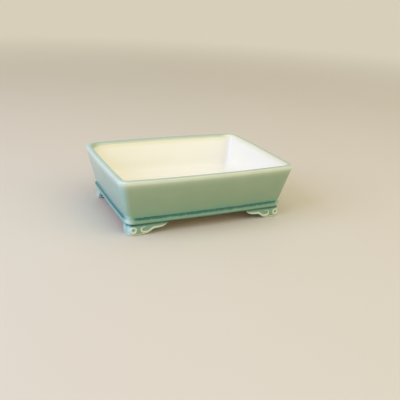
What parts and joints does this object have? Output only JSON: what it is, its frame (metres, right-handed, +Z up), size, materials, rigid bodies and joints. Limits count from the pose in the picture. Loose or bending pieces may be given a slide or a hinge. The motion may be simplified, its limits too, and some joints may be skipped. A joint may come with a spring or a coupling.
{
  "type": "bonsai pot",
  "caption": "Shallow rectangular bonsai pot with flared bowed walls, a beaded base and scroll corner feet, glazed outside; holds soil and drains through its floor.",
  "frame": {"origin": "centre of the footprint, on the plane of the foot soles", "axes": "+X along the length, +Y towards the back, +Z up"},
  "size_m": [0.151, 0.1134, 0.047],
  "materials": {
    "celadon_wall": "gloss celadon glaze",
    "celadon_bead": "gloss celadon glaze, deeper where it pools",
    "cream_floor": "satin cream white",
    "celadon_foot": "gloss celadon glaze",
    "pale_scroll": "gloss celadon glaze, thin and pale on the relief"
  },
  "bodies": {
    "root": {"front_wall": "celadon_wall", "right_wall": "celadon_wall", "back_wall": "celadon_wall", "left_wall": "celadon_wall", "front_base_bead": "celadon_bead", "right_base_bead": "celadon_bead", "back_base_bead": "celadon_bead", "left_base_bead": "celadon_bead", "floor_slab": "cream_floor", "foot_front_left": "celadon_foot", "foot_front_right": "celadon_foot", "foot_back_left": "celadon_foot", "foot_back_right": "celadon_foot", "ring_scroll_front_left": "pale_scroll", "ring_scroll_front_right": "pale_scroll", "ring_scroll_back_left": "pale_scroll", "ring_scroll_back_right": "pale_scroll", "long_scroll_front_left": "pale_scroll", "long_scroll_front_right": "pale_scroll", "long_scroll_back_left": "pale_scroll", "long_scroll_back_right": "pale_scroll"}
  },
  "joints": []
}
